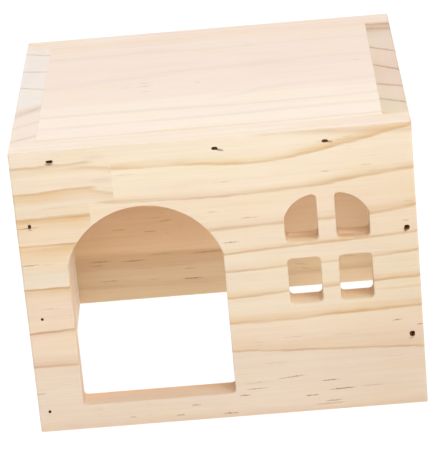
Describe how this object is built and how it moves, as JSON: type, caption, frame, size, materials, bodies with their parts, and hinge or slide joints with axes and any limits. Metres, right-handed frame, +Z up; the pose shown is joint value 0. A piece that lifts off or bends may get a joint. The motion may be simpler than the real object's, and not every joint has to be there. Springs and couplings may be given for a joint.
{
  "type": "wooden hamster house",
  "caption": "Open-bottomed pine box for a small pet, with an arched doorway and a four-light arched window cut through its front board.",
  "frame": {"origin": "centre of the box's outline on the ground", "axes": "+X to the right as seen from the front, +Y from the front board to the back board, +Z up"},
  "size_m": [0.15, 0.13, 0.116],
  "materials": {
    "pine": "bare, sanded",
    "brad_steel": "dull wire"
  },
  "bodies": {
    "root": {"front_board": "pine", "back_board": "pine", "left_side_board": "pine", "right_side_board": "pine", "roof_board": "pine", "front_roof_brads": "brad_steel", "front_left_brads": "brad_steel", "front_right_brads": "brad_steel", "back_roof_brads": "brad_steel", "back_left_brads": "brad_steel", "back_right_brads": "brad_steel", "left_roof_brads": "brad_steel", "right_roof_brads": "brad_steel"}
  },
  "joints": []
}
